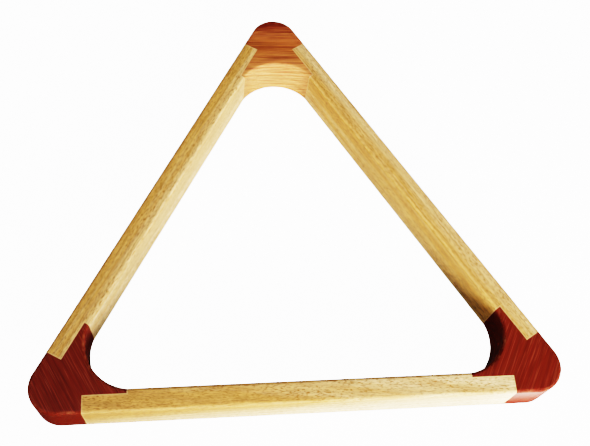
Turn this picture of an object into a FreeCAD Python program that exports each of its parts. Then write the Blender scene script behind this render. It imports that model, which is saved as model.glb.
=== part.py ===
import FreeCAD, Part

import math
import os

from FreeCAD import Vector

# Triangle rack for fifteen pool balls: a flat wooden frame of three straight rails and
# three rounded corner blocks. Each end of a rail laps over the outside of a block's tongue,
# and two hidden dowels hold each of the six joints.
#
# Lengths are millimetres. +Z is up and the underside lies on Z = 0. The origin is the
# middle of the frame's footprint, the front rail runs along X on the -Y side, and the
# apex points to +Y.

# Driving dimensions. The two setbacks run along a rail's outer face from the sharp corner
# where the outer faces of two rails would meet.
BALL_DIAMETER = 57.15
BALLS_PER_SIDE = 5
RACKING_PLAY = 6.5
RAIL_THICKNESS = 15.5
FRAME_HEIGHT = 33.0
OUTER_CORNER_RADIUS = 18.8
INNER_CORNER_RADIUS = 32.3
TOP_EDGE_RADIUS = 2.2
BOTTOM_EDGE_RADIUS = 1.2
RAIL_END_SETBACK = 49.0
TONGUE_END_SETBACK = 78.0
LAP_THICKNESS = 12.0
DOWEL_DIAMETER = 6.0
DOWEL_LENGTH = 34.0
DOWEL_DEPTH_IN_RAIL = 20.0
DOWEL_CHAMFER = 0.6
GLUE_ROOM = 0.5
DOWEL_HEIGHTS = {"lower": 10.5, "upper": 22.5}

# The inner side is measured between the sharp corners that the rails would have without
# the corner blocks: five balls in a row, plus what the outer two need in a 60 degree corner.
ROOT_3 = math.sqrt(3)
INNER_SIDE = (BALLS_PER_SIDE - 1 + ROOT_3) * BALL_DIAMETER + RACKING_PLAY
OUTER_SIDE = INNER_SIDE + 2 * ROOT_3 * RAIL_THICKNESS
INNER_INRADIUS = INNER_SIDE / (2 * ROOT_3)
OUTER_INRADIUS = OUTER_SIDE / (2 * ROOT_3)
FRAME_DEPTH = 3 * OUTER_INRADIUS - OUTER_CORNER_RADIUS
TRIANGLE_CENTRE = Vector(0, OUTER_INRADIUS - FRAME_DEPTH / 2, 0)

# A block's outer corner is an arc tangent to both rails. Its inner arc is flatter: it starts
# and ends where the tongues end, and meets each rail's inner face there at a slight angle.
# Its centre lies on the corner's bisector, this far from the sharp inner corner.
INNER_ARC_REACH = TONGUE_END_SETBACK - ROOT_3 * RAIL_THICKNESS
INNER_ARC_DISTANCE = INNER_ARC_REACH * ROOT_3 / 2 + math.sqrt(
    INNER_CORNER_RADIUS**2 - (INNER_ARC_REACH / 2) ** 2
)

# A cutting shape reaches this far past the wood that it cuts.
OVERCUT = 5.0

# Each corner's direction from the triangle's centre, in degrees from +X.
CORNER_DIRECTIONS = {"apex": 90, "front_left": 210, "front_right": 330}

# Each rail starts at one sharp outer corner and heads for the next, anticlockwise.
# The two ends are named after where they lie on the frame.
RAILS = {
    "front": {"start": "front_left", "heading": 0, "ends": ("left", "right")},
    "right": {"start": "front_right", "heading": 120, "ends": ("front", "apex")},
    "left": {"start": "apex", "heading": 240, "ends": ("apex", "front")},
}


def direction(degrees):
    """Unit vector in the XY plane."""
    angle = math.radians(degrees)
    return Vector(math.cos(angle), math.sin(angle), 0)


def sharp_corner(corner):
    """Where the outer faces of two rails would meet if the corner were not rounded."""
    return TRIANGLE_CENTRE + direction(CORNER_DIRECTIONS[corner]) * (2 * OUTER_INRADIUS)


def onto_rail(shape, rail):
    """Place a shape drawn along +X, with the ball side towards +Y, on one side of the frame."""
    placed = shape.copy()
    placed.rotate(Vector(0, 0, 0), Vector(0, 0, 1), RAILS[rail]["heading"])
    placed.translate(sharp_corner(RAILS[rail]["start"]))
    return placed


def prism(outline):
    """Straight prism over an outline, a little taller than the frame at both faces."""
    face = Part.Face(Part.makePolygon(outline + outline[:1]))
    face.translate(Vector(0, 0, -OVERCUT))
    return face.extrude(Vector(0, 0, FRAME_HEIGHT + 2 * OVERCUT))


def edges_at_height(shape, height):
    """The horizontal edges that lie at one height."""
    return [
        edge
        for edge in shape.Edges
        if abs(edge.BoundBox.ZMin - height) < 1e-6 and abs(edge.BoundBox.ZMax - height) < 1e-6
    ]


def eased(shape):
    """Round over the edges at the frame's top, and less so those at its underside."""
    shape = shape.makeFillet(TOP_EDGE_RADIUS, edges_at_height(shape, FRAME_HEIGHT))
    return shape.makeFillet(BOTTOM_EDGE_RADIUS, edges_at_height(shape, 0))


def rail_outline():
    """Plan of a rail: full thickness between the tongues, and its outer lap beyond them."""
    near_and_far = lambda setback: (setback, OUTER_SIDE - setback)
    lap_start, lap_end = near_and_far(RAIL_END_SETBACK)
    tongue_start, tongue_end = near_and_far(TONGUE_END_SETBACK)
    inside = RAIL_THICKNESS + OVERCUT
    return [
        Vector(lap_start, -OVERCUT, 0),
        Vector(lap_end, -OVERCUT, 0),
        Vector(lap_end, LAP_THICKNESS, 0),
        Vector(tongue_end, LAP_THICKNESS, 0),
        Vector(tongue_end, inside, 0),
        Vector(tongue_start, inside, 0),
        Vector(tongue_start, LAP_THICKNESS, 0),
        Vector(lap_start, LAP_THICKNESS, 0),
    ]


def rail(holes):
    """Straight bar with stepped ends, drawn along +X from the sharp corner at the origin."""
    bar = Part.makeBox(OUTER_SIDE, RAIL_THICKNESS, FRAME_HEIGHT)
    return eased(bar).common(prism(rail_outline())).cut(holes)


def rounded_slab():
    """The frame's outer shape, solid through the middle, with its edges eased."""
    arcs = []
    for degrees in CORNER_DIRECTIONS.values():
        centre_distance = 2 * (OUTER_INRADIUS - OUTER_CORNER_RADIUS)
        centre = TRIANGLE_CENTRE + direction(degrees) * centre_distance
        turns = (-60, 0, 60)
        points = [centre + direction(degrees + turn) * OUTER_CORNER_RADIUS for turn in turns]
        arcs.append(Part.Arc(*points).toShape())
    edges = []
    for arc, following in zip(arcs, arcs[1:] + arcs[:1]):
        side = Part.LineSegment(arc.Vertexes[-1].Point, following.Vertexes[0].Point)
        edges += [arc, side.toShape()]
    return eased(Part.Face(Part.Wire(edges)).extrude(Vector(0, 0, FRAME_HEIGHT)))


def ball_space():
    """Prism between the rails' inner faces, cut off straight across each corner."""
    outline = []
    for side in RAILS:
        for setback in (TONGUE_END_SETBACK, OUTER_SIDE - TONGUE_END_SETBACK):
            point = Part.Vertex(Vector(setback, RAIL_THICKNESS, 0))
            outline.append(onto_rail(point, side).Point)
    return prism(outline)


def rim_arc(radius, edge_radius, rim_height, side):
    """Quarter circle that eases one rim of a block's concave face, upwards in XZ."""
    centre = Vector(radius + edge_radius, 0, rim_height - side * edge_radius)
    flank = centre + Vector(-edge_radius, 0, 0)
    rim = centre + Vector(0, 0, side * edge_radius)
    middle = centre + Vector(-edge_radius, 0, side * edge_radius) / math.sqrt(2)
    ends = (flank, middle, rim) if side > 0 else (rim, middle, flank)
    return Part.Arc(*ends).toShape()


def arc_cutter():
    """Solid of revolution that hollows a block's ball side and eases both of its rims."""
    lower = rim_arc(INNER_CORNER_RADIUS, BOTTOM_EDGE_RADIUS, 0, -1)
    upper = rim_arc(INNER_CORNER_RADIUS, TOP_EDGE_RADIUS, FRAME_HEIGHT, 1)
    bottom_rim = lower.Vertexes[0].Point
    top_rim = upper.Vertexes[-1].Point
    flank = Part.makeLine(lower.Vertexes[-1].Point, upper.Vertexes[0].Point)
    back = Part.makePolygon(
        [
            top_rim,
            top_rim + Vector(0, 0, OVERCUT),
            Vector(0, 0, FRAME_HEIGHT + OVERCUT),
            Vector(0, 0, -OVERCUT),
            bottom_rim - Vector(0, 0, OVERCUT),
            bottom_rim,
        ]
    )
    profile = Part.Face(Part.Wire([lower, flank, upper] + back.Edges))
    cutter = profile.revolve(Vector(0, 0, 0), Vector(0, 0, 1), 360)
    centre_distance = 2 * INNER_INRADIUS - INNER_ARC_DISTANCE
    cutter.translate(TRIANGLE_CENTRE + direction(CORNER_DIRECTIONS["apex"]) * centre_distance)
    return cutter


def apex_block(holes):
    """Corner block at the apex: rounded outside, hollow on the ball side, with two tongues."""
    rail_spaces = [onto_rail(prism(rail_outline()), side) for side in RAILS]
    pieces = rounded_slab().cut(rail_spaces + [ball_space()]).Solids
    block = max(pieces, key=lambda piece: piece.CenterOfMass.y)
    return block.cut([arc_cutter()] + holes)


def turned_to(corner, shape):
    """Copy of a shape made at the apex, turned about the triangle's centre to a corner."""
    turned = shape.copy()
    turn = CORNER_DIRECTIONS[corner] - CORNER_DIRECTIONS["apex"]
    turned.rotate(TRIANGLE_CENTRE, Vector(0, 0, 1), turn)
    return turned


def dowel_rod(at_far_end, height, spare):
    """Round rod across the joint at one end of a rail, longer by the spare at both ends."""
    start = RAIL_END_SETBACK + DOWEL_DEPTH_IN_RAIL - DOWEL_LENGTH
    if at_far_end:
        start = OUTER_SIDE - start - DOWEL_LENGTH
    mouth = Vector(start - spare, LAP_THICKNESS / 2, height)
    return Part.makeCylinder(
        DOWEL_DIAMETER / 2, DOWEL_LENGTH + 2 * spare, mouth, Vector(1, 0, 0)
    )


def dowel(at_far_end, height):
    """Dowel with both ends chamfered so that it starts easily in its holes."""
    rod = dowel_rod(at_far_end, height, 0)
    rims = [edge for edge in rod.Edges if isinstance(edge.Curve, Part.Circle)]
    return rod.makeChamfer(DOWEL_CHAMFER, rims)


def build_rack():
    """Every sub-part of the rack by node name."""
    holes = [
        dowel_rod(at_far_end, height, GLUE_ROOM)
        for at_far_end in (False, True)
        for height in DOWEL_HEIGHTS.values()
    ]
    holes_at_rails = [onto_rail(hole, side) for side in RAILS for hole in holes]
    straight_rail = rail(holes)
    corner_block = apex_block(holes_at_rails)
    nodes = {f"rail_{side}": onto_rail(straight_rail, side) for side in RAILS}
    for corner in CORNER_DIRECTIONS:
        nodes[f"corner_block_{corner}"] = turned_to(corner, corner_block)
    for side, layout in RAILS.items():
        for at_far_end, end_name in zip((False, True), layout["ends"]):
            for level, height in DOWEL_HEIGHTS.items():
                name = f"dowel_{side}_rail_{end_name}_{level}"
                nodes[name] = onto_rail(dowel(at_far_end, height), side)
    return nodes


def write_nodes(nodes):
    """One STEP file for each sub-part, with a line that says what it holds."""
    os.makedirs("parts", exist_ok=True)
    for name, shape in nodes.items():
        if len(shape.Solids) != 1 or not shape.isValid():
            raise ValueError(f"{name} is not one sound solid")
        solid = shape.Solids[0]
        solid.exportStep(f"parts/{name}.step")
        box = solid.BoundBox
        size = f"{box.XLength:.1f} x {box.YLength:.1f} x {box.ZLength:.1f} mm"
        print(f"{name}: {size}, {solid.Volume / 1000:.2f} cm3")


if __name__ == "__main__":
    write_nodes(build_rack())
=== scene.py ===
# %% [markdown]
# # A wooden triangle rack
#
# A triangle rack gathers fifteen pool balls into their starting triangle. This one is three
# pale maple rails and three dark red padauk corner blocks. Each end of a rail laps over the
# outside of a tongue on the block, two hidden beech dowels hold the joint, and the whole
# frame was sanded flush and given a clear satin lacquer after it was glued.
#
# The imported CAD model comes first. It fixes where everything is, so every later piece is
# measured from it.

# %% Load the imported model
import math

import bmesh
import bpy
from mathutils import Matrix, Vector


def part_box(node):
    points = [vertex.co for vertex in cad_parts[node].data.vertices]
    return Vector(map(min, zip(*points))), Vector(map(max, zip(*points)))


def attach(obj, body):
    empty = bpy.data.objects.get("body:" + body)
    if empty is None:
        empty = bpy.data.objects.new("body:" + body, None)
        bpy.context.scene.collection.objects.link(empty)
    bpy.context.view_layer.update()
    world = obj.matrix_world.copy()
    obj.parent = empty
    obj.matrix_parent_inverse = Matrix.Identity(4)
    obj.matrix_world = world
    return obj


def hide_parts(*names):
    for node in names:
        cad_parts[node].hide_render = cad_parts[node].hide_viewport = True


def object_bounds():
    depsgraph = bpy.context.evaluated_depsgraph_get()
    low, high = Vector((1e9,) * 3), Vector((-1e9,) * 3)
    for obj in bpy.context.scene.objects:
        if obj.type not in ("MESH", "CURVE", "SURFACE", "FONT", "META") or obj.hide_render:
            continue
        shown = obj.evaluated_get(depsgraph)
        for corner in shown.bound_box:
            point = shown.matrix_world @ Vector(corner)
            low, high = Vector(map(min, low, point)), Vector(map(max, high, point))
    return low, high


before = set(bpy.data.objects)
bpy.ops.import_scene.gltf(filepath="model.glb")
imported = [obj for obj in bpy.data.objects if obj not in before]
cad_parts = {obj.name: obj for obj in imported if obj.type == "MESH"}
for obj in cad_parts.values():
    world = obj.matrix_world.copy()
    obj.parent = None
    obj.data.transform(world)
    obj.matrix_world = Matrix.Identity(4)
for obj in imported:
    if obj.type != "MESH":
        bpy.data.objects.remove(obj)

cad_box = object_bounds()
print("CAD nodes:", sorted(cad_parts))
print("CAD box in mm:", [[round(c * 1000, 2) for c in corner] for corner in cad_box])

# %% [markdown]
# ## Sizes
#
# Blender works in metres and a woodworker thinks in millimetres, so one constant turns one
# into the other. Whatever the CAD boxes can tell is read from them. The sizes they can't
# tell, such as the corner radii, are given here as numbers.

# %% Sizes of the rack
MM = 0.001
front_low, front_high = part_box("rail_front")
dowel_low, dowel_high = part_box("dowel_front_rail_left_upper")
HEIGHT = front_high.z - front_low.z
RAIL_THICKNESS = front_high.y - front_low.y
RAIL_LENGTH = front_high.x - front_low.x
RAIL_END_SETBACK = 49.0 * MM
TONGUE_END_SETBACK = 78.0 * MM
LAP_THICKNESS = 12.0 * MM
OUTER_CORNER_RADIUS = 18.8 * MM
INNER_CORNER_RADIUS = 32.3 * MM
TOP_EDGE_RADIUS = 2.2 * MM
BOTTOM_EDGE_RADIUS = 1.2 * MM

OUTER_SIDE = RAIL_LENGTH + 2 * RAIL_END_SETBACK
OUTER_INRADIUS = OUTER_SIDE / (2 * math.sqrt(3))
TRIANGLE_CENTRE = Vector((0, front_low.y + OUTER_INRADIUS, 0))
INNER_ARC_REACH = TONGUE_END_SETBACK - math.sqrt(3) * RAIL_THICKNESS
INNER_ARC_DISTANCE = INNER_ARC_REACH * math.sqrt(3) / 2 + math.sqrt(
    INNER_CORNER_RADIUS**2 - (INNER_ARC_REACH / 2) ** 2
)
print(f"rail {RAIL_LENGTH / MM:.1f} x {RAIL_THICKNESS / MM:.1f} x {HEIGHT / MM:.1f} mm")
print(f"outer side {OUTER_SIDE / MM:.1f} mm between sharp corners")

# %% [markdown]
# ## Camera
#
# The rack lies flat and is seen from well above its front rail, a little from the left and
# with the camera slightly tilted. A camera's three axes are written straight into its
# matrix: X to the right of the picture, Y up it, and Z backwards, away from the subject.
# The lens is slightly shifted, because the rack sits a little off the picture's middle.

# %% Direction of view
AZIMUTH = math.radians(-11.68)
ELEVATION = math.radians(63.82)
ROLL = math.radians(8.85)
DISTANCE = 0.6481
AIM = Vector((-0.0107, -0.0104, 0))

back = Vector(
    (
        math.sin(AZIMUTH) * math.cos(ELEVATION),
        -math.cos(AZIMUTH) * math.cos(ELEVATION),
        math.sin(ELEVATION),
    )
)
level_right = Vector((0, 0, 1)).cross(back).normalized()
level_up = back.cross(level_right)
picture_right = level_right * math.cos(ROLL) + level_up * math.sin(ROLL)
picture_up = level_up * math.cos(ROLL) - level_right * math.sin(ROLL)

print("looking back along", [round(c, 3) for c in back])

# %% Place the camera
def into_scene(thing):
    """Put an object in the scene."""
    bpy.context.scene.collection.objects.link(thing)


LENS_LENGTH = 51.43  # millimetres, as a camera's lens is named
SIDEWAYS_SHIFT = 0.0423  # of the picture's width

camera = bpy.data.objects.new("camera", bpy.data.cameras.new("camera"))
camera.matrix_world = (
    Matrix.Translation(AIM + back * DISTANCE)
    @ Matrix((picture_right, picture_up, back)).transposed().to_4x4()
)
camera.data.lens = LENS_LENGTH
camera.data.shift_x = SIDEWAYS_SHIFT
camera.data.clip_start = 0.01
camera.data.clip_end = 20
into_scene(camera)
bpy.context.scene.camera = camera
print("camera at", [round(c, 3) for c in camera.matrix_world.translation])

# %% [markdown]
# ## Nodes
#
# Materials and geometry trees are both made of nodes, so one small function adds either: it
# makes the node, sets its options and feeds its inputs with a value, a socket or another
# node's output. Colours are written as they look on a screen and turned to the linear
# values that light is worked out in.

# %% One function for nodes
def add(tree, kind, feeds=None, **options):
    """Add a node with its options, and feed its inputs by name or by place."""
    made = tree.nodes.new(kind)
    for option, value in options.items():
        setattr(made, option, value)
    open_inputs = [socket for socket in made.inputs if socket.enabled]
    for key, value in (feeds or {}).items():
        if isinstance(key, int):
            socket = open_inputs[key]
        else:
            socket = next(s for s in open_inputs if s.name == key)
        for source in value if isinstance(value, list) else [value]:
            if isinstance(source, bpy.types.Node):
                source = next(s for s in source.outputs if s.enabled)
            if isinstance(source, bpy.types.NodeSocket):
                tree.links.new(source, socket)
            else:
                socket.default_value = source
    return made


# %% One function for colours
def linear(hex_colour):
    """Screen colour such as #c89a5b as the linear colour of a socket."""
    screen = [int(hex_colour[i : i + 2], 16) / 255 for i in (1, 3, 5)]
    light = [c / 12.92 if c <= 0.04045 else ((c + 0.055) / 1.055) ** 2.4 for c in screen]
    return (*light, 1.0)


print("mid grey on the screen is", round(linear("#808080")[0], 3), "in light")


# %% One start for every material
def start_material(name):
    """New material with an empty node tree."""
    material = bpy.data.materials.new(name)
    material.use_nodes = True
    material.node_tree.nodes.clear()
    return material, material.node_tree

# %% [markdown]
# ## Where a piece grew
#
# Wood's pattern comes from where in the tree a board was sawn. Every piece therefore
# carries two coordinates of its own, in metres: "board" is the place on the piece, with X
# along the grain, and "log" is the same place in the tree, after the board is turned and
# moved to where it grew. A pattern read from "log" runs through the piece as real grain
# does, so the top, the sides and the rounded edges agree.

# %% Log coordinates
def grain(tree, along, across, through):
    """Log coordinates in which one unit is so many millimetres in each direction."""
    place = add(tree, "ShaderNodeAttribute", attribute_name="log")
    size = (1 / (along * MM), 1 / (across * MM), 1 / (through * MM))
    return add(
        tree, "ShaderNodeVectorMath", {0: place.outputs["Vector"], 1: size}, operation="MULTIPLY"
    )


# A band texture's waves are this far apart at scale 1.
WAVE_SPACING = math.pi / 10
print(f"a band texture's waves are {WAVE_SPACING:.3f} units apart")

# %% From heart to bark
def bark_side(tree, streaks, sway, width):
    """Nothing in the heartwood and one in the sapwood, over a streaky boundary this wide."""
    log = add(tree, "ShaderNodeAttribute", attribute_name="log")
    log_parts = add(tree, "ShaderNodeSeparateXYZ", {0: log.outputs["Vector"]})
    off_middle = add(tree, "ShaderNodeMath", {0: streaks, 1: 0.5}, operation="SUBTRACT")
    toward_bark = add(
        tree,
        "ShaderNodeMath",
        {0: off_middle, 1: sway, 2: log_parts.outputs["Y"]},
        operation="MULTIPLY_ADD",
    )
    limits = {"From Min": -width / 2, "From Max": width / 2}
    return add(tree, "ShaderNodeMapRange", {"Value": toward_bark, **limits})


# %% [markdown]
# ## The glue line and its painted highlight
#
# A joint is where two woods meet. A thin film of glue is squeezed out along it and sanded
# flush. The hair-thin pale line drawn along the joint is partly the glue's own colour and
# partly a painted highlight, standing in for light caught along the joint. Seen from above,
# the joint is a stepped line, and its distance follows from two lengths: how far along the
# rail a point is from the corner, and how far in from the rail's outer face. A real glue
# line is a tenth of a millimetre, too fine to show, so it is drawn several times wider and
# faint.

# %% Distance from a joint
def near_joint(tree, from_corner, from_outer_face, reach):
    """One at the glue line and its painted highlight, fading to nothing at this distance from it.
    """
    beyond_rail_end = add(
        tree, "ShaderNodeMath", {0: from_corner, 1: RAIL_END_SETBACK}, operation="SUBTRACT"
    )
    outside_lap = add(
        tree, "ShaderNodeMath", {0: LAP_THICKNESS, 1: from_outer_face}, operation="SUBTRACT"
    )
    beyond_tongue = add(
        tree, "ShaderNodeMath", {0: from_corner, 1: TONGUE_END_SETBACK}, operation="SUBTRACT"
    )
    lap = add(tree, "ShaderNodeMath", {0: beyond_rail_end, 1: outside_lap}, operation="MINIMUM")
    step = add(tree, "ShaderNodeMath", {0: lap, 1: beyond_tongue}, operation="MAXIMUM")
    distance = add(tree, "ShaderNodeMath", {0: step}, operation="ABSOLUTE")
    return add(
        tree,
        "ShaderNodeMapRange",
        {"Value": distance, "From Min": reach * 0.4, "From Max": reach, "To Min": 1, "To Max": 0},
    )


# %% [markdown]
# ## Wear and lacquer
#
# Both woods were finished alike, so both materials end alike. The lacquer is a thin satin
# film, sprayed on and rubbed down: it gives a weak, wide sheen, and fibres and pores still
# show through it as shallow dips. Hands and cloth rub the rounded edges first, in patches,
# so the finish is rougher there and the wood under it shows. On the padauk that paler rim
# colour is also a painted highlight, a broken glint along the rounded edges. The "edge"
# attribute is one on the rims and nothing elsewhere, and a noise breaks it into patches.

# %% Worn edges, which on the padauk also carry a painted glint
def rubbed_edges_and_glints(tree, patch_size, least, most):
    """Share of bare wood, and on the padauk of painted glint, in patches of this size along the
    rims, at most so much.
    """
    edge = add(tree, "ShaderNodeAttribute", attribute_name="edge")
    rub = add(
        tree,
        "ShaderNodeTexNoise",
        {"Vector": grain(tree, *patch_size), "Scale": 1, "Detail": 4, "Roughness": 0.6},
    )
    patches = add(
        tree,
        "ShaderNodeMapRange",
        {"Value": rub, "From Min": least, "From Max": least + 0.2, "To Max": most},
    )
    return add(tree, "ShaderNodeMath", {0: edge.outputs["Fac"], 1: patches}, operation="MULTIPLY")


# %% Satin lacquer
def lacquer(tree, wood, fibres, relief, depth):
    """Finish a wood whose sheen follows its fibres and whose dips are this deep."""
    edge = add(tree, "ShaderNodeAttribute", attribute_name="edge")
    satin = add(
        tree,
        "ShaderNodeMapRange",
        {"Value": fibres, "From Min": 0.3, "From Max": 0.7, "To Min": 0.42, "To Max": 0.56},
    )
    rubbed_down = add(
        tree,
        "ShaderNodeMath",
        {0: edge.outputs["Fac"], 1: 0.4, 2: satin},
        operation="MULTIPLY_ADD",
    )
    bump = add(tree, "ShaderNodeBump", {"Strength": 0.3, "Distance": depth, "Height": relief})
    finish = {
        "Base Color": wood,
        "Roughness": rubbed_down,
        "IOR": 1.5,
        "Specular IOR Level": 0.22,
        "Coat Weight": 0.05,
        "Coat Roughness": 0.3,
        "Normal": bump,
    }
    surface = add(tree, "ShaderNodeBsdfPrincipled", finish)
    add(tree, "ShaderNodeOutputMaterial", {"Surface": surface})


# %% [markdown]
# ## Maple for the rails
#
# The rails are hard maple, a pale honey-coloured wood that turns cream towards the bark.
# Its growth rings are faint, its fibres make fine streaks along the rail, and short brown
# flecks show where rays are cut. Each of these is one layer of noise, stretched along the
# grain, and each has its real size in millimetres. Single fibres are under a tenth of a
# millimetre, too fine to show, so they are drawn about nine times coarser.

# %% Maple: from heartwood to sapwood
maple, tree = start_material("lacquered_maple")

SAPWOOD_WIDTH = 24 * MM
slow = add(
    tree,
    "ShaderNodeTexNoise",
    {"Vector": grain(tree, 110, 2.4, 9), "Scale": 1, "Detail": 3, "Roughness": 0.55},
)
sapwood = bark_side(tree, slow, 20 * MM, SAPWOOD_WIDTH)
ground = add(
    tree,
    "ShaderNodeMix",
    {"Factor": sapwood, "A": linear("#b5854a"), "B": linear("#f1cd99")},
    data_type="RGBA",
)
print(f"maple pales over {SAPWOOD_WIDTH / MM:.0f} mm")

# %% Maple: growth rings
MAPLE_RING = 5.2
rings = add(
    tree,
    "ShaderNodeTexWave",
    {
        "Vector": grain(tree, 26, 1, 1),
        "Scale": WAVE_SPACING / MAPLE_RING,
        "Distortion": 9,
        "Detail": 3,
        "Detail Scale": 0.5,
        "Detail Roughness": 0.5,
    },
    wave_type="BANDS",
    bands_direction="Y",
    wave_profile="SAW",
)
latewood = add(
    tree,
    "ShaderNodeMapRange",
    {"Value": rings.outputs["Fac"], "From Min": 0.55, "From Max": 1.0, "To Max": 0.45},
)
ringed = add(
    tree,
    "ShaderNodeMix",
    {"Factor": latewood, "A": ground, "B": linear("#a67643")},
    data_type="RGBA",
)
print(f"maple rings {MAPLE_RING} mm apart")

# %% Maple: fibres and flecks
fibres = add(
    tree,
    "ShaderNodeTexNoise",
    {"Vector": grain(tree, 24, 0.9, 0.9), "Scale": 1, "Detail": 4, "Roughness": 0.7},
)
flecks = add(
    tree,
    "ShaderNodeTexNoise",
    {"Vector": grain(tree, 2.6, 0.75, 0.75), "Scale": 1, "Detail": 1, "Roughness": 0.5},
)
fleck_patches = add(
    tree,
    "ShaderNodeTexNoise",
    {"Vector": grain(tree, 60, 6, 6), "Scale": 1, "Detail": 1, "Roughness": 0.5},
)
streaks = add(
    tree,
    "ShaderNodeMapRange",
    {"Value": fibres, "From Min": 0.34, "From Max": 0.66, "To Min": 0.7, "To Max": 1.22},
)
speckle = add(
    tree,
    "ShaderNodeMapRange",
    {"Value": flecks, "From Min": 0.3, "From Max": 0.7, "To Min": 1.17, "To Max": 0.83},
)
tone = add(tree, "ShaderNodeMath", {0: streaks, 1: speckle}, operation="MULTIPLY")
streaked = add(tree, "ShaderNodeVectorMath", {0: ringed, "Scale": tone}, operation="SCALE")
fleck_shape = add(
    tree, "ShaderNodeMapRange", {"Value": flecks, "From Min": 0.55, "From Max": 0.65}
)
fleck_share = add(
    tree,
    "ShaderNodeMapRange",
    {"Value": fleck_patches, "From Min": 0.35, "From Max": 0.65, "To Min": 0.3, "To Max": 0.9},
)
fleck_mask = add(tree, "ShaderNodeMath", {0: fleck_shape, 1: fleck_share}, operation="MULTIPLY")
flecked = add(
    tree,
    "ShaderNodeMix",
    {"Factor": fleck_mask, "A": streaked, "B": linear("#83572c")},
    data_type="RGBA",
)
print("maple so far:", len(tree.nodes), "nodes")

# %% Maple: glue line with a painted highlight, wear and lacquer
board = add(tree, "ShaderNodeAttribute", attribute_name="board")
board_parts = add(tree, "ShaderNodeSeparateXYZ", {0: board.outputs["Vector"]})
along_rail = add(tree, "ShaderNodeMath", {0: board_parts.outputs["X"]}, operation="ABSOLUTE")
from_corner = add(
    tree, "ShaderNodeMath", {0: OUTER_SIDE / 2, 1: along_rail}, operation="SUBTRACT"
)
# The pale line along each joint is the glue's colour and also a painted highlight.
glue_and_highlight_line = near_joint(tree, from_corner, board_parts.outputs["Y"], 0.9 * MM)
glue_and_highlight_share = add(tree, "ShaderNodeMath", {0: glue_and_highlight_line, 1: 0.4}, operation="MULTIPLY")
glued = add(
    tree,
    "ShaderNodeMix",
    {"Factor": glue_and_highlight_share, "A": flecked, "B": linear("#dcb985")},
    data_type="RGBA",
)
worn_and_glinting = add(
    tree,
    "ShaderNodeMix",
    {"Factor": rubbed_edges_and_glints(tree, (14, 6, 6), 0.42, 0.5), "A": glued, "B": linear("#a98150")},
    data_type="RGBA",
)
relief = add(
    tree, "ShaderNodeMath", {0: fleck_mask, 1: -0.6, 2: fibres}, operation="MULTIPLY_ADD"
)
lacquer(tree, worn_and_glinting, fibres, relief, 0.05 * MM)
print("maple:", len(tree.nodes), "nodes")

# %% [markdown]
# ## Padauk for the corner blocks
#
# The blocks are padauk, an African hardwood whose heartwood is a deep red that darkens to
# wine with age. Long open pores draw thin dark and pinkish lines along the grain, and the
# wood is banded where the fibres lean one way and then the other. Towards the bark it turns
# quickly to orange-brown and then to pale straw-coloured sapwood. In "log" coordinates the
# bark side is positive Y, so a block sawn deep in the tree comes out red and one sawn near
# the boundary shows all three colours, with no other setting.

# %% Padauk: from heartwood to sapwood
padauk, tree = start_material("lacquered_padauk")

COLOUR_CHANGE = 48 * MM
bands = add(
    tree,
    "ShaderNodeTexNoise",
    {"Vector": grain(tree, 38, 1.1, 12), "Scale": 1, "Detail": 5, "Roughness": 0.68},
)
age = bark_side(tree, bands, 16 * MM, COLOUR_CHANGE)
heart_to_sap = add(tree, "ShaderNodeValToRGB", {"Fac": age})
stops = heart_to_sap.color_ramp.elements
stops[0].position, stops[0].color = 0.0, linear("#5f2014")
stops[1].position, stops[1].color = 1.0, linear("#be8450")
for position, colour in (
    (0.24, "#6e2d1c"), (0.31, "#a8613a"), (0.55, "#a05a31"), (0.8, "#b06e40")
):
    stops.new(position).color = linear(colour)
print(f"padauk pales over {COLOUR_CHANGE / MM:.0f} mm in", len(stops), "colours")

# %% Padauk: bands, which are stronger away from the heart
band_tone = add(
    tree,
    "ShaderNodeMapRange",
    {"Value": bands, "From Min": 0.36, "From Max": 0.64, "To Min": 0.55, "To Max": 1.32},
)
variety = add(
    tree,
    "ShaderNodeMapRange",
    {"Value": age, "From Min": 0.1, "From Max": 0.35, "To Min": 0.65, "To Max": 1.0},
)
varied_tone = add(tree, "ShaderNodeMix", {"Factor": variety, "A": 1.0, "B": band_tone})
banded = add(
    tree,
    "ShaderNodeVectorMath",
    {0: heart_to_sap.outputs["Color"], "Scale": varied_tone},
    operation="SCALE",
)
print("padauk so far:", len(tree.nodes), "nodes")

# %% Padauk: growth rings as broken dark lines
PADAUK_RING = 3.6
rings = add(
    tree,
    "ShaderNodeTexWave",
    {
        "Vector": grain(tree, 10, 1, 6),
        "Scale": WAVE_SPACING / PADAUK_RING,
        "Distortion": 7,
        "Detail": 5,
        "Detail Scale": 0.9,
        "Detail Roughness": 0.6,
    },
    wave_type="BANDS",
    bands_direction="Y",
    wave_profile="SAW",
)
ring_lines = add(
    tree,
    "ShaderNodeMapRange",
    {"Value": rings.outputs["Fac"], "From Min": 0.5, "From Max": 1.0, "To Max": 0.95},
)
ring_share = add(
    tree,
    "ShaderNodeMapRange",
    {"Value": bands, "From Min": 0.4, "From Max": 0.6, "To Min": 0.9, "To Max": 0.2},
)
broken_lines = add(tree, "ShaderNodeMath", {0: ring_lines, 1: ring_share}, operation="MULTIPLY")
ring_mask = add(tree, "ShaderNodeMath", {0: broken_lines, 1: variety}, operation="MULTIPLY")
ringed = add(
    tree,
    "ShaderNodeMix",
    {"Factor": ring_mask, "A": banded, "B": linear("#6b2f1a")},
    data_type="RGBA",
)
print(f"padauk rings {PADAUK_RING} mm apart")

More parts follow.
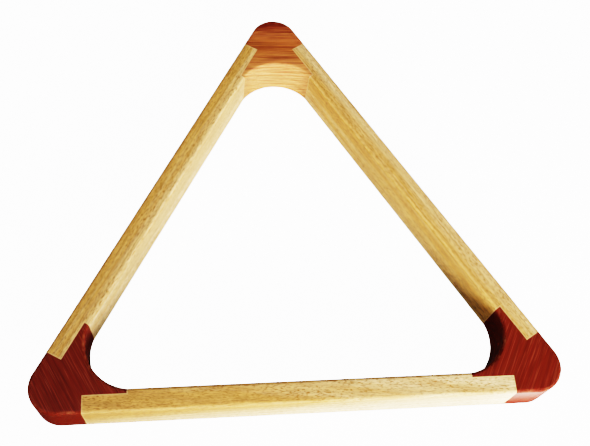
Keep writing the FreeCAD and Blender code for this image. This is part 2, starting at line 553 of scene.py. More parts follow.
# %% Padauk: pores
# A pore is a quarter of a millimetre across, and is drawn more than twice as wide to show.
PORE_LENGTH, PORE_WIDTH = 24, 0.62
pores = add(
    tree,
    "ShaderNodeTexNoise",
    {"Vector": grain(tree, PORE_LENGTH, PORE_WIDTH, PORE_WIDTH), "Scale": 1, "Detail": 2},
)
pore_lines = add(
    tree,
    "ShaderNodeMapRange",
    {"Value": pores, "From Min": 0.56, "From Max": 0.68, "To Max": 0.4},
)
pored = add(
    tree,
    "ShaderNodeMix",
    {"Factor": pore_lines, "A": ringed, "B": linear("#3a1512")},
    data_type="RGBA",
)
dusty_lines = add(
    tree,
    "ShaderNodeMapRange",
    {"Value": pores, "From Min": 0.43, "From Max": 0.33, "To Max": 0.32},
)
lined = add(
    tree,
    "ShaderNodeMix",
    {"Factor": dusty_lines, "A": pored, "B": linear("#9a5242")},
    data_type="RGBA",
)
print(f"pores drawn {PORE_LENGTH} x {PORE_WIDTH} mm")

# %% Padauk: wear with a painted highlight, and lacquer
# The pale rim colour is worn wood and also a painted highlight, a broken glint along the rounded
# edges.
worn_and_glinting = add(
    tree,
    "ShaderNodeMix",
    {"Factor": rubbed_edges_and_glints(tree, (5, 5, 5), 0.48, 0.35), "A": lined, "B": linear("#9c5f42")},
    data_type="RGBA",
)
relief = add(tree, "ShaderNodeMath", {0: pore_lines, 1: -1.0, 2: bands}, operation="MULTIPLY_ADD")
lacquer(tree, worn_and_glinting, bands, relief, 0.06 * MM)
print("padauk:", len(tree.nodes), "nodes")

# %% [markdown]
# ## Beech for the dowels
#
# Joint dowels are turned from beech and left bare, because glue has to soak in. The wood is
# a matt pinkish tan with short dark ray flecks.

# %% Beech
beech, tree = start_material("bare_beech")
fibres = add(
    tree,
    "ShaderNodeTexNoise",
    {"Vector": grain(tree, 12, 0.4, 0.4), "Scale": 1, "Detail": 3, "Roughness": 0.6},
)
rays = add(
    tree, "ShaderNodeTexNoise", {"Vector": grain(tree, 1.6, 0.3, 0.3), "Scale": 1, "Detail": 0}
)
ray_flecks = add(
    tree, "ShaderNodeMapRange", {"Value": rays, "From Min": 0.6, "From Max": 0.68, "To Max": 0.7}
)
tan = add(
    tree,
    "ShaderNodeMix",
    {"Factor": fibres, "A": linear("#c79a6c"), "B": linear("#e0bf95")},
    data_type="RGBA",
)
flecked = add(
    tree,
    "ShaderNodeMix",
    {"Factor": ray_flecks, "A": tan, "B": linear("#8f5f3a")},
    data_type="RGBA",
)
matt = add(
    tree,
    "ShaderNodeMapRange",
    {"Value": fibres, "From Min": 0.3, "From Max": 0.7, "To Min": 0.6, "To Max": 0.8},
)
bump = add(tree, "ShaderNodeBump", {"Strength": 0.4, "Distance": 0.05 * MM, "Height": fibres})
surface = add(
    tree,
    "ShaderNodeBsdfPrincipled",
    {"Base Color": flecked, "Roughness": matt, "IOR": 1.5, "Normal": bump},
)
add(tree, "ShaderNodeOutputMaterial", {"Surface": surface})
print("beech:", len(tree.nodes), "nodes")

# %% [markdown]
# ## One rule for every piece
#
# A rail, a corner block and a dowel are all made the same way in the workshop: sawn to an
# outline, then routed round the rims with a rounding-over cutter. A geometry tree follows
# that rule. It starts from the outline as one flat face, and pulls a lid up out of it one
# step at a time, along the cutter's profile. Each outline point carries an "ease" vector
# that says which way it draws in as the cutter bites. Where a face is glued to another
# piece, that vector lies in the glued face, so the rounding runs straight through the joint.
#
# The profile is a line with its corners rounded by Fillet Curve. Short straight steps beside
# each rounding keep the wide faces looking flat, because a smooth normal is then shared
# only across those steps.

# %% The tree's named inputs
shaper = bpy.data.node_groups.new("eased_prism", "GeometryNodeTree")
shaper.is_modifier = True
shaper.interface.new_socket("Geometry", in_out="INPUT", socket_type="NodeSocketGeometry")
for name, kind in (
    ("Height", "NodeSocketFloat"),
    ("Top radius", "NodeSocketFloat"),
    ("Bottom radius", "NodeSocketFloat"),
    ("Straight step", "NodeSocketFloat"),
    ("Rounding steps", "NodeSocketInt"),
    ("Nick depth", "NodeSocketFloat"),
    ("Nick length", "NodeSocketFloat"),
    ("Nick seed", "NodeSocketFloat"),
    ("Dowel places", "NodeSocketObject"),
    ("Hole diameter", "NodeSocketFloat"),
    ("Hole length", "NodeSocketFloat"),
    ("Board origin", "NodeSocketVector"),
    ("Grain turn", "NodeSocketVector"),
    ("Log turn", "NodeSocketVector"),
    ("Log place", "NodeSocketVector"),
    ("Wood", "NodeSocketMaterial"),
):
    shaper.interface.new_socket(name, in_out="INPUT", socket_type=kind)
shaper.interface.new_socket("Geometry", in_out="OUTPUT", socket_type="NodeSocketGeometry")
given = add(shaper, "NodeGroupInput").outputs
print("inputs:", [item.name for item in shaper.interface.items_tree if item.in_out == "INPUT"])

# %% The cutter's profile: X is how far it bites in, Z is the height
top_run, bottom_run = [
    add(shaper, "ShaderNodeMath", {0: given[radius], 1: given["Straight step"]}, operation="ADD")
    for radius in ("Top radius", "Bottom radius")
]
below_top = add(shaper, "ShaderNodeMath", {0: given["Height"], 1: top_run}, operation="SUBTRACT")
profile_points = [
    add(shaper, "ShaderNodeCombineXYZ", {"X": bottom_run}),
    add(shaper, "ShaderNodeCombineXYZ"),
    add(shaper, "ShaderNodeCombineXYZ", {"Z": bottom_run}),
    add(shaper, "ShaderNodeCombineXYZ", {"Z": below_top}),
    add(shaper, "ShaderNodeCombineXYZ", {"Z": given["Height"]}),
    add(shaper, "ShaderNodeCombineXYZ", {"X": top_run, "Z": given["Height"]}),
]
print("profile drawn through", len(profile_points), "points")

# %% Round the profile's two corners
BOTTOM_CORNER, TOP_CORNER = 1, 4
which = add(shaper, "GeometryNodeInputIndex")
place = add(shaper, "GeometryNodeIndexSwitch", data_type="VECTOR")
radius = add(shaper, "GeometryNodeIndexSwitch", data_type="FLOAT")
for _ in profile_points[2:]:
    place.index_switch_items.new()
    radius.index_switch_items.new()
for switch in (place, radius):
    shaper.links.new(which.outputs[0], switch.inputs["Index"])
for number, point in enumerate(profile_points):
    shaper.links.new(point.outputs[0], place.inputs[1 + number])
shaper.links.new(given["Bottom radius"], radius.inputs[1 + BOTTOM_CORNER])
shaper.links.new(given["Top radius"], radius.inputs[1 + TOP_CORNER])
line = add(shaper, "GeometryNodeMeshLine", {"Count": len(profile_points)})
laid_out = add(shaper, "GeometryNodeSetPosition", {"Geometry": line, "Position": place})
drawn = add(shaper, "GeometryNodeMeshToCurve", {"Mesh": laid_out})
profile = add(
    shaper,
    "GeometryNodeFilletCurve",
    {"Curve": drawn, "Radius": radius, "Count": given["Rounding steps"]},
    mode="POLY",
)
profile_size = add(
    shaper, "GeometryNodeAttributeDomainSize", {"Geometry": profile}, component="CURVE"
)
print(len(shaper.nodes), "nodes so far")

# %% [markdown]
# ### The lid climbs the profile
#
# A repeat zone does the same thing once for each step of the profile: it extrudes the lid
# by the step's rise, draws its rim in by the step's bite, and notes which points lie on a
# rounding, for the wear and the nicks that come later. What is left at the end is the
# wall and the top, and a flipped copy of the first face closes the underside.

# %% The first face
ease = add(shaper, "GeometryNodeInputNamedAttribute", {"Name": "ease"}, data_type="FLOAT_VECTOR")
first_bite = add(
    shaper, "ShaderNodeVectorMath", {0: ease, "Scale": bottom_run}, operation="SCALE"
)
base = add(
    shaper, "GeometryNodeSetPosition", {"Geometry": given["Geometry"], "Offset": first_bite}
)
started = add(
    shaper,
    "GeometryNodeStoreNamedAttribute",
    {"Geometry": base, "Name": "lid", "Value": True},
    data_type="BOOLEAN",
    domain="FACE",
)
print(len(shaper.nodes), "nodes so far")

# %% The repeat zone
steps = add(
    shaper, "ShaderNodeMath", {0: profile_size.outputs["Point Count"], 1: 1}, operation="SUBTRACT"
)
climb_end = shaper.nodes.new("GeometryNodeRepeatOutput")
climb = shaper.nodes.new("GeometryNodeRepeatInput")
climb.pair_with_output(climb_end)
shaper.links.new(started.outputs[0], climb.inputs["Geometry"])
shaper.links.new(steps.outputs[0], climb.inputs["Iterations"])
where = add(shaper, "GeometryNodeInputPosition")
following = add(shaper, "ShaderNodeMath", {0: climb.outputs["Iteration"], 1: 1}, operation="ADD")
here, there = [
    add(
        shaper,
        "GeometryNodeSampleIndex",
        {"Geometry": profile, "Value": where, "Index": index},
        data_type="FLOAT_VECTOR",
    )
    for index in (climb.outputs["Iteration"], following)
]
print(len(shaper.nodes), "nodes so far")

# %% One step up
move = add(shaper, "ShaderNodeVectorMath", {0: there, 1: here}, operation="SUBTRACT")
move_parts = add(shaper, "ShaderNodeSeparateXYZ", {0: move})
rise = add(shaper, "ShaderNodeCombineXYZ", {"Z": move_parts.outputs["Z"]})
bite = add(
    shaper, "ShaderNodeVectorMath", {0: ease, "Scale": move_parts.outputs["X"]}, operation="SCALE"
)
is_lid = add(shaper, "GeometryNodeInputNamedAttribute", {"Name": "lid"}, data_type="BOOLEAN")
pulled = add(
    shaper,
    "GeometryNodeExtrudeMesh",
    {
        "Mesh": climb.outputs["Geometry"],
        "Selection": is_lid,
        "Offset": rise,
        "Offset Scale": 1,
        "Individual": False,
    },
    mode="FACES",
)
drawn_in = add(
    shaper,
    "GeometryNodeSetPosition",
    {"Geometry": pulled.outputs["Mesh"], "Selection": pulled.outputs["Top"], "Offset": bite},
)
new_lid = add(
    shaper,
    "GeometryNodeStoreNamedAttribute",
    {"Geometry": drawn_in, "Name": "lid", "Value": pulled.outputs["Top"]},
    data_type="BOOLEAN",
    domain="FACE",
)
print(len(shaper.nodes), "nodes so far")

# %% Which points lie on a rounding
HAIR = 0.02 * MM
there_parts = add(shaper, "ShaderNodeSeparateXYZ", {0: there})
bitten, above_base = [
    add(
        shaper,
        "ShaderNodeMath",
        {0: there_parts.outputs[axis], 1: HAIR},
        operation="GREATER_THAN",
    )
    for axis in ("X", "Z")
]
short_of_top = add(
    shaper,
    "ShaderNodeMath",
    {0: given["Height"], 1: there_parts.outputs["Z"]},
    operation="SUBTRACT",
)
under_lid = add(shaper, "ShaderNodeMath", {0: short_of_top, 1: HAIR}, operation="GREATER_THAN")
on_curve = add(shaper, "ShaderNodeMath", {0: bitten, 1: above_base}, operation="MULTIPLY")
on_rim = add(shaper, "ShaderNodeMath", {0: on_curve, 1: under_lid}, operation="MULTIPLY")
marked = add(
    shaper,
    "GeometryNodeStoreNamedAttribute",
    {"Geometry": new_lid, "Selection": pulled.outputs["Top"], "Name": "edge", "Value": on_rim},
    data_type="FLOAT",
    domain="POINT",
)
shaper.links.new(marked.outputs[0], climb_end.inputs["Geometry"])
print(len(shaper.nodes), "nodes so far")

# %% Close the underside
underside = add(shaper, "GeometryNodeFlipFaces", {"Mesh": base})
closed = add(
    shaper, "GeometryNodeJoinGeometry", {"Geometry": [climb_end.outputs["Geometry"], underside]}
)
welded = add(shaper, "GeometryNodeMergeByDistance", {"Geometry": closed, "Distance": 0.001 * MM})
print(len(shaper.nodes), "nodes so far")

# %% [markdown]
# ### Dowel holes, nicks and grain
#
# The tree goes on to bore the blind dowel holes: a cylinder at every dowel place, aligned
# with it, is taken away from the piece. A cylinder that misses the piece changes nothing.
#
# Hands, cues and tables leave shallow nicks on the rounded rims. They are noise in space,
# so where a nick crosses a joint it crosses both woods. They only ever go inwards.

# %% Bore the dowel holes
places = add(shaper, "GeometryNodeObjectInfo", {"Object": given["Dowel places"]})
hole_radius = add(shaper, "ShaderNodeMath", {0: given["Hole diameter"], 1: 2}, operation="DIVIDE")
drill = add(
    shaper,
    "GeometryNodeMeshCylinder",
    {"Vertices": 24, "Radius": hole_radius, "Depth": given["Hole length"]},
)
way = add(shaper, "GeometryNodeInputNamedAttribute", {"Name": "along"}, data_type="FLOAT_VECTOR")
aligned = add(shaper, "FunctionNodeAlignRotationToVector", {"Vector": way}, axis="Z")
drills = add(
    shaper,
    "GeometryNodeInstanceOnPoints",
    {"Points": places.outputs["Geometry"], "Instance": drill.outputs["Mesh"], "Rotation": aligned},
)
drill_solids = add(shaper, "GeometryNodeRealizeInstances", {"Geometry": drills})
bored = add(
    shaper,
    "GeometryNodeMeshBoolean",
    {0: welded, 1: drill_solids},
    operation="DIFFERENCE",
    solver="EXACT",
)
print(len(shaper.nodes), "nodes so far")

# %% Nick the rims
seeded = add(shaper, "ShaderNodeCombineXYZ", {"Z": given["Nick seed"]})
nick_place = add(shaper, "ShaderNodeVectorMath", {0: where, 1: seeded}, operation="ADD")
nick_scale = add(shaper, "ShaderNodeMath", {0: 1, 1: given["Nick length"]}, operation="DIVIDE")
nick_noise = add(
    shaper,
    "ShaderNodeTexNoise",
    {"Vector": nick_place, "Scale": nick_scale, "Detail": 3, "Roughness": 0.6},
)
nick_bite = add(
    shaper,
    "ShaderNodeMapRange",
    {"Value": nick_noise, "From Min": 0.5, "From Max": 0.75, "To Max": -1},
)
rim = add(shaper, "GeometryNodeInputNamedAttribute", {"Name": "edge"}, data_type="FLOAT")
nick_depth = add(
    shaper, "ShaderNodeMath", {0: nick_bite, 1: given["Nick depth"]}, operation="MULTIPLY"
)
rim_depth = add(shaper, "ShaderNodeMath", {0: nick_depth, 1: rim}, operation="MULTIPLY")
outward = add(shaper, "GeometryNodeInputNormal")
nick_move = add(shaper, "ShaderNodeVectorMath", {0: outward, "Scale": rim_depth}, operation="SCALE")
nicked = add(shaper, "GeometryNodeSetPosition", {"Geometry": bored, "Offset": nick_move})
print(len(shaper.nodes), "nodes so far")

# %% Where each point grew
from_origin = add(
    shaper, "ShaderNodeVectorMath", {0: where, 1: given["Board origin"]}, operation="SUBTRACT"
)
on_board = add(
    shaper,
    "ShaderNodeVectorRotate",
    {"Vector": from_origin, "Rotation": given["Grain turn"]},
    rotation_type="EULER_XYZ",
)
in_log = add(
    shaper,
    "ShaderNodeVectorRotate",
    {"Vector": on_board, "Rotation": given["Log turn"]},
    rotation_type="EULER_XYZ",
)
log_point = add(
    shaper, "ShaderNodeVectorMath", {0: in_log, 1: given["Log place"]}, operation="ADD"
)
placed = nicked
for name, value in (("board", on_board), ("log", log_point)):
    placed = add(
        shaper,
        "GeometryNodeStoreNamedAttribute",
        {"Geometry": placed, "Name": name, "Value": value},
        data_type="FLOAT_VECTOR",
        domain="POINT",
    )
print(len(shaper.nodes), "nodes so far")

# %% Smooth faces, and the wood
smooth = add(shaper, "GeometryNodeSetShadeSmooth", {"Geometry": placed, "Shade Smooth": True})
real = add(shaper, "GeometryNodeRealizeInstances", {"Geometry": smooth})
finished = add(shaper, "GeometryNodeSetMaterial", {"Geometry": real, "Material": given["Wood"]})
add(shaper, "NodeGroupOutput", {"Geometry": finished})
print(len(shaper.nodes), "nodes in the whole tree")

# %% [markdown]
# ## From an outline to a piece
#
# An outline is a list of points with their ease vectors, as one flat face. The tree goes on
# it as a modifier, whose inputs are set by their identifiers, and the evaluated result is
# copied to a plain mesh. The modifier is then gone, and only the finished wood is left.
#
# Where the lid's first and last steps slide flat along a glued face, a face without any
# area, or a slit where boring dropped it, is left. A last pass closes those, cuts the
# many-sided faces into good triangles, and keeps an edge crisp where its two faces bend by
# more than the crease angle, so that joints look sawn and roundings look smooth.

# %% Close the folds and crease the edges
CREASE_ANGLE = math.radians(35)
WELD_DISTANCE = 0.001 * MM


def close_and_crease(mesh):
    """Leave no face without area, no slit and no many-sided face, and crease the edges."""
    solid = bmesh.new()
    solid.from_mesh(mesh)
    slits = [edge for edge in solid.edges if edge.is_boundary]
    bmesh.ops.holes_fill(solid, edges=slits, sides=3)
    bmesh.ops.dissolve_degenerate(solid, dist=WELD_DISTANCE, edges=solid.edges)
    wide = [face for face in solid.faces if len(face.verts) > 4]
    bmesh.ops.triangulate(solid, faces=wide, ngon_method="BEAUTY")
    for edge in solid.edges:
        edge.smooth = edge.calc_face_angle(math.pi) < CREASE_ANGLE
    open_edges = [edge for edge in solid.edges if not edge.is_manifold]
    print("cut", len(wide), "many-sided faces;", len(open_edges), "open edges left")
    solid.to_mesh(mesh)
    solid.free()


# %% Make a piece from its outline
def shaped(name, outline, settings):
    """Plain mesh object made by the tree from [(point, ease), ...] in plan."""
    mesh = bpy.data.meshes.new(name)
    mesh.from_pydata([point for point, _ in outline], [], [range(len(outline))])
    attribute = mesh.attributes.new("ease", "FLOAT_VECTOR", "POINT")
    attribute.data.foreach_set("vector", [c for _, way_in in outline for c in way_in])
    piece = bpy.data.objects.new(name, mesh)
    into_scene(piece)
    modifier = piece.modifiers.new("shape", "NODES")
    modifier.node_group = shaper
    for item in shaper.interface.items_tree:
        if item.in_out == "INPUT" and item.name in settings:
            modifier[item.identifier] = settings[item.name]
    bpy.context.view_layer.update()
    evaluated = piece.evaluated_get(bpy.context.evaluated_depsgraph_get())
    made = bpy.data.meshes.new_from_object(evaluated)
    piece.modifiers.clear()
    piece.data = made
    made.name = name
    for spare in ("ease", "lid"):
        if spare in made.attributes:
            made.attributes.remove(made.attributes[spare])
    bpy.data.meshes.remove(mesh)
    close_and_crease(made)
    print(f"{name}: {len(made.vertices)} points, {len(made.polygons)} faces")
    return piece


def evenly(start, end, spacing):
    """Points from start up to but not including end, about this far apart."""
    count = max(1, round((end - start).length / spacing))
    return [start.lerp(end, number / count) for number in range(count)]


def direction(degrees):
    """Unit vector in plan."""
    return Vector((math.cos(math.radians(degrees)), math.sin(math.radians(degrees)), 0))


# %% Where the twelve dowels are
DOWEL_DIAMETER = dowel_high.y - dowel_low.y
DOWEL_LENGTH = dowel_high.x - dowel_low.x
GLUE_ROOM = 0.5 * MM

dowel_nodes = sorted(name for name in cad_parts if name.startswith("dowel"))
heading = {"front": 0, "right": 120, "left": 240}
dowel_middle = {}
dowel_way = {}
for name in dowel_nodes:
    low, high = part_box(name)
    dowel_middle[name] = (low + high) / 2
    dowel_way[name] = direction(heading[name.split("_")[1]])

places_mesh = bpy.data.meshes.new("dowel_places")
places_mesh.from_pydata(list(dowel_middle.values()), [], [])
along = places_mesh.attributes.new("along", "FLOAT_VECTOR", "POINT")
along.data.foreach_set("vector", [c for way_out in dowel_way.values() for c in way_out])
dowel_places = bpy.data.objects.new("dowel_places", places_mesh)
into_scene(dowel_places)
print(f"{len(dowel_nodes)} dowels of {DOWEL_DIAMETER / MM:.1f} x {DOWEL_LENGTH / MM:.1f} mm")

# %% What every piece of the frame shares
frame_piece = {
    "Height": HEIGHT,
    "Top radius": TOP_EDGE_RADIUS,
    "Bottom radius": BOTTOM_EDGE_RADIUS,
    "Straight step": 0.3 * MM,
    "Rounding steps": 7,
    "Nick depth": 0.14 * MM,
    "Nick length": 7 * MM,
    "Nick seed": 3.0,
    "Dowel places": dowel_places,
    "Hole diameter": DOWEL_DIAMETER,
    "Hole length": DOWEL_LENGTH + 2 * GLUE_ROOM,
}
POINT_SPACING = 1.6 * MM


def cut_from(wood, origin, degrees, log_turn, log_place):
    """Settings of a frame piece cut from this wood, with its grain in this direction."""
    return frame_piece | {
        "Board origin": origin,
        "Grain turn": (0, 0, -math.radians(degrees)),
        "Log turn": log_turn,
        "Log place": log_place,
        "Wood": wood,
    }


print("points", POINT_SPACING / MM, "mm apart along an outline")

# %% [markdown]
# ## Rails
#
# A rail is a straight bar with a step cut out of the inside of each end, where the block's
# tongue goes. The outline is drawn along X with the ball side towards +Y, then turned and
# moved to its side of the triangle. The long outer and inner faces are eased; the step and
# the ends are glued, so their points stay put or slide along the joint.

# %% Outline of a rail
def rail_outline(side, start):
    """Outline of the rail that leaves the sharp corner at start and heads along side."""
    lap = (RAIL_END_SETBACK, OUTER_SIDE - RAIL_END_SETBACK)
    full = (TONGUE_END_SETBACK, OUTER_SIDE - TONGUE_END_SETBACK)

    def at(x, y):
        return Vector((x, y, 0))

    inwards, still = at(0, 1), at(0, 0)
    outer = evenly(at(lap[0], 0), at(lap[1], 0), POINT_SPACING)
    inner = evenly(at(full[1], RAIL_THICKNESS), at(full[0], RAIL_THICKNESS), POINT_SPACING)
    points = [(point, inwards) for point in [*outer, at(lap[1], 0)]]
    points += [(at(x, LAP_THICKNESS), still) for x in (lap[1], full[1])]
    points += [(point, -inwards) for point in [*inner, at(full[0], RAIL_THICKNESS)]]
    points += [(at(x, LAP_THICKNESS), still) for x in (full[0], lap[0])]
    turn = Matrix.Rotation(math.radians(heading[side]), 3, "Z")
    return [(start + turn @ point, turn @ way_in) for point, way_in in points]


def sharp_corner(degrees):
    """Where the outer faces of two rails would meet, in this direction from the centre."""
    return TRIANGLE_CENTRE + direction(degrees) * (2 * OUTER_INRADIUS)


print("front corners at", [[round(c / MM, 1) for c in sharp_corner(d)] for d in (210, 330)])

# %% Three rails
rail_start = {"front": 210, "right": 330, "left": 90}
rail_log = {
    "front": ((1.0, 0.0, 0.075), (0.31, 0.0152, 0.02)),
    "right": ((2.8, 0.0, 0.006), (1.13, 0.0115, 0.11)),
    "left": ((0.2, 0.0, 0.008), (2.07, -0.0112, 0.05)),
}
rails = {}
for side, (log_turn, log_place) in rail_log.items():
    start = sharp_corner(rail_start[side])
    middle = start + direction(heading[side]) * (OUTER_SIDE / 2)
    settings = cut_from(maple, middle, heading[side], log_turn, log_place)
    rails[side] = shaped(f"{side}_rail", rail_outline(side, start), settings)

# %% [markdown]
# ## Corner blocks
#
# A block is rounded outside, hollow on the ball side, and reaches two tongues in behind the
# rails. It is the same on both sides of the corner's bisector, so one side is drawn and the
# other is its mirror image. Its grain runs straight across the bisector.

# %% Half a block's outline
ARC_STEPS = 40


def block_half():
    """Half of a block's outline, as (into the frame, to the side), with ease vectors."""
    in_rail, out_side = math.cos(math.radians(30)), math.sin(math.radians(30))

    def on_side(along, depth):
        into_frame = along * in_rail + depth * out_side
        return Vector((into_frame, along * out_side - depth * in_rail, 0))

    still = Vector((0, 0, 0))
    into_wood = on_side(0, 1)
    outer_centre = Vector((2 * OUTER_CORNER_RADIUS, 0, 0))
    half = []
    for number in range(ARC_STEPS + 1):
        radial = -direction(-60 * number / ARC_STEPS)
        half.append((outer_centre + radial * OUTER_CORNER_RADIUS, -radial))
    straight_start = on_side(math.sqrt(3) * OUTER_CORNER_RADIUS, 0)
    rail_end = on_side(RAIL_END_SETBACK, 0)
    half += [(point, into_wood) for point in evenly(straight_start, rail_end, POINT_SPACING)[1:]]
    half += [(rail_end, into_wood)]
    for setback in (RAIL_END_SETBACK, TONGUE_END_SETBACK):
        half.append((on_side(setback, LAP_THICKNESS), still))
    inner_centre = Vector((2 * RAIL_THICKNESS + INNER_ARC_DISTANCE, 0, 0))
    tip = on_side(TONGUE_END_SETBACK, RAIL_THICKNESS)
    tip_radial = (tip - inner_centre).normalized()
    half += [(tip, into_wood / tip_radial.dot(into_wood))]
    tip_angle = math.degrees(math.atan2(tip_radial.y, -tip_radial.x))
    for number in range(1, ARC_STEPS + 1):
        radial = -direction(-tip_angle * (1 - number / ARC_STEPS))
        half.append((inner_centre + radial * INNER_CORNER_RADIUS, radial))
    return half


print("half a block has", len(block_half()), "points")

# %% The whole outline
def block_outline(corner):
    """A whole block's outline, placed at a sharp corner in this direction."""
    half = block_half()
    mirror = Matrix.Diagonal((1, -1, 1))
    whole = half + [(mirror @ point, mirror @ way_in) for point, way_in in half[-2:0:-1]]
    turn = Matrix.Rotation(math.radians(corner + 180), 3, "Z")
    start = sharp_corner(corner)
    return [(start + turn @ point, turn @ way_in) for point, way_in in reversed(whole)]


# %% Three corner blocks
corner_direction = {"apex": 90, "front_left": 210, "front_right": 330}
block_log = {
    "apex": ((0.7, 0.0, 0.0), (0.4, -0.012, 0.0)),
    "front_left": ((0.3, 0.0, 0.03), (0.9, -0.19, 0.03)),
    "front_right": ((-0.3, 0.0, -0.02), (1.5, -0.27, 0.08)),
}
blocks = {}
for corner, (log_turn, log_place) in block_log.items():
    degrees = corner_direction[corner]
    across = degrees + 90
    settings = cut_from(padauk, sharp_corner(degrees), across, log_turn, log_place)
    blocks[corner] = shaped(f"{corner}_block", block_outline(degrees), settings)

# %% [markdown]
# ## Dowels
#
# A joint dowel is fluted, so that air and spare glue can leave its hole, and both ends are
# rounded so that it starts easily. The same tree makes it: its outline is a circle pressed
# in at each flute. It is made standing up, then laid into its joint. It has no nicks and no
# holes, so those inputs are left at nothing.

# %% Fluted outline
FLUTES = 12
FLUTE_DEPTH = 0.25 * MM
POINTS_PER_FLUTE = 6


def dowel_outline():
    """Fluted circle about the origin."""
    points = []
    for number in range(FLUTES * POINTS_PER_FLUTE):
        radial = direction(360 * number / (FLUTES * POINTS_PER_FLUTE))
        phase = math.cos(2 * math.pi * number / POINTS_PER_FLUTE)
        reach = DOWEL_DIAMETER / 2 - FLUTE_DEPTH * (1 - phase) / 2
        points.append((radial * reach, -radial))
    return points


print("a dowel's outline has", len(dowel_outline()), "points")

# %% Twelve dowels
dowels = {}
for number, name in enumerate(dowel_nodes):
    dowel = shaped(
        name.replace("dowel_", "fluted_dowel_"),
        dowel_outline(),
        {
            "Height": DOWEL_LENGTH,
            "Top radius": 0.6 * MM,
            "Bottom radius": 0.6 * MM,
            "Straight step": 0.1 * MM,
            "Rounding steps": 3,
            "Board origin": (0, 0, DOWEL_LENGTH / 2),
            "Grain turn": (0, math.radians(90), 0),
            "Log place": (0.1 * number, 0.03, 0.0),
            "Wood": beech,
        },
    )
    lay_down = dowel_way[name].to_track_quat("Z", "Y").to_matrix().to_4x4()
    dowel.data.transform(
        Matrix.Translation(dowel_middle[name])
        @ lay_down
        @ Matrix.Translation((0, 0, -DOWEL_LENGTH / 2))
    )
    dowels[name] = dowel

bpy.data.objects.remove(dowel_places)
print(len(rails), "rails,", len(blocks), "corner blocks,", len(dowels), "dowels")

# %% [markdown]
# ## Floor
#
# The rack lies on a plain white sheet, as small products are often shown. The sheet is
# round, and far from the rack it curves up like the paper sweep in a studio, so that no
# horizon shows from any side. It is lit from below, so it stays white. It sends no light
# back, because bounced light would fill the hollows that should stay dark.

# %% Floor that curves up into a backdrop
CURVE_START, CURVE_RADIUS, SWEEP_HEIGHT, SWEEP_SIDES = 2.5, 1.5, 5.0, 72
sweep = [(CURVE_START, 0.0)]
for turn in range(10, 91, 10):
    outwards, upwards = math.sin(math.radians(turn)), 1 - math.cos(math.radians(turn))
    sweep.append((CURVE_START + CURVE_RADIUS * outwards, CURVE_RADIUS * upwards))
sweep.append((CURVE_START + CURVE_RADIUS, SWEEP_HEIGHT))

floor_height = cad_box[0].z - 0.05 * MM
floor_points = [(0, 0, floor_height)]
floor_faces = []
for ring, (radius, height) in enumerate(sweep):
    for number in range(SWEEP_SIDES):
        spoke = direction(360 * number / SWEEP_SIDES) * radius
        floor_points.append((spoke.x, spoke.y, height + floor_height))
        this = 1 + ring * SWEEP_SIDES + number
        beside = 1 + ring * SWEEP_SIDES + (number + 1) % SWEEP_SIDES
        if ring == 0:
            floor_faces.append((0, this, beside))
        else:
            floor_faces.append((this - SWEEP_SIDES, this, beside, beside - SWEEP_SIDES))
floor_mesh = bpy.data.meshes.new("floor")
floor_mesh.from_pydata(floor_points, [], floor_faces)
floor = bpy.data.objects.new("floor", floor_mesh)
into_scene(floor)
print("floor:", len(floor_faces), "faces")

# %% Its white sheet
sheet, tree = start_material("white_sheet")
surface = add(
    tree,
    "ShaderNodeBsdfPrincipled",
    {
        "Base Color": linear("#f4f4f2"),
        "Roughness": 0.7,
        "Emission Color": linear("#ffffff"),
        "Emission Strength": 6.0,
    },
)
add(tree, "ShaderNodeOutputMaterial", {"Surface": surface})
floor_mesh.materials.append(sheet)
floor.visible_diffuse = False
floor.visible_glossy = False
floor.visible_shadow = False
print("floor is a stage, not part of the rack")

# %% [markdown]
# ## Lights
#
# A low soft light in front does most of the work. It brightens the faces turned towards it,
# leaves the hollows that face away dark, and its beam is narrow and aimed right of the
# middle, so the light falls off to the left. A large light overhead evens out the tops. It
# stands on the camera's side, so that the tops don't mirror it. Two long low strips behind
# light the outer faces without reaching over the rails, and a weak narrow light from the
# right brightens the left rail's ball side. A small warm card on the table, in front of the
# right corner, shows as a pale gleam in its lacquer. The front light is kept out of the
# gloss, or from behind the tops would mirror it and turn white. A film-like tone curve with
# strong contrast keeps bright wood from going flat.

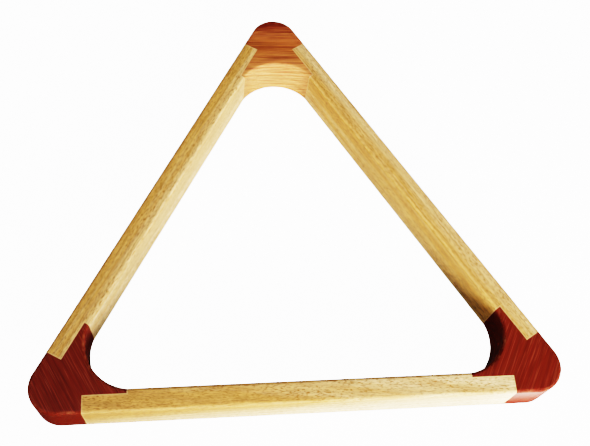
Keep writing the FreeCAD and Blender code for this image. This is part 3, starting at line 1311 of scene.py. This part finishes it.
# %% One function for a light
def soft_light(name, aim, azimuth, elevation, distance, size, power, spread=180, tint="#ffffff"):
    """Soft light that looks at a point from this direction, in degrees; size is (wide, tall)."""
    a, e = math.radians(azimuth), math.radians(elevation)
    way_back = Vector((math.sin(a) * math.cos(e), -math.cos(a) * math.cos(e), math.sin(e)))
    lamp = bpy.data.objects.new(name, bpy.data.lights.new(name, "AREA"))
    lamp.data.shape = "RECTANGLE"
    lamp.data.size, lamp.data.size_y = size
    lamp.data.energy = power
    lamp.data.color = linear(tint)[:3]
    lamp.data.spread = math.radians(spread)
    lamp.location = aim + way_back * distance
    lamp.rotation_mode = "QUATERNION"
    lamp.rotation_quaternion = way_back.to_track_quat("Z", "Y")
    lamp.visible_camera = False
    into_scene(lamp)
    print(f"{name}: {power} W from {azimuth}, {elevation}")
    return lamp


# %% Lights and tone
key = soft_light("key", Vector((0.12, 0, 0)), 11, 15, 1.3, (0.5, 0.45), 3.6, spread=30)
key.visible_glossy = False
soft_light("overhead", Vector((-0.12, 0, 0)), -32, 62, 1.1, (0.7, 0.7), 5.5)
soft_light("back_left", Vector((0, 0, 0.02)), -120, 3, 1.2, (1.0, 0.07), 2.4)
soft_light("back_right", Vector((0, 0, 0.02)), 120, 3, 1.2, (1.0, 0.07), 2.4)
soft_light(
    "card", Vector((0.165, -0.195, 0.001)), 0, -90, 0.0, (0.05, 0.05), 0.12, tint="#fff2e0"
)
soft_light("side", Vector((-0.13, -0.06, 0.02)), 68, 14, 1.2, (0.4, 0.3), 0.24, spread=22)

world = bpy.data.worlds.new("studio")
world.use_nodes = True
world.node_tree.nodes["Background"].inputs["Color"].default_value = (1, 1, 1, 1)
world.node_tree.nodes["Background"].inputs["Strength"].default_value = 0.055
bpy.context.scene.world = world
bpy.context.scene.view_settings.view_transform = "Filmic"
bpy.context.scene.view_settings.look = "Very High Contrast"

# %% [markdown]
# ## Join the pieces to the CAD
#
# Each new piece rides on the rack's one body and stands for its CAD node, whose own mesh is
# hidden.

# %% Ride and replace
for side, piece in rails.items():
    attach(piece, "root")
    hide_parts(f"rail_{side}")
for corner, piece in blocks.items():
    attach(piece, "root")
    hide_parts(f"corner_block_{corner}")
for name, piece in dowels.items():
    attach(piece, "root")
    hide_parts(name)
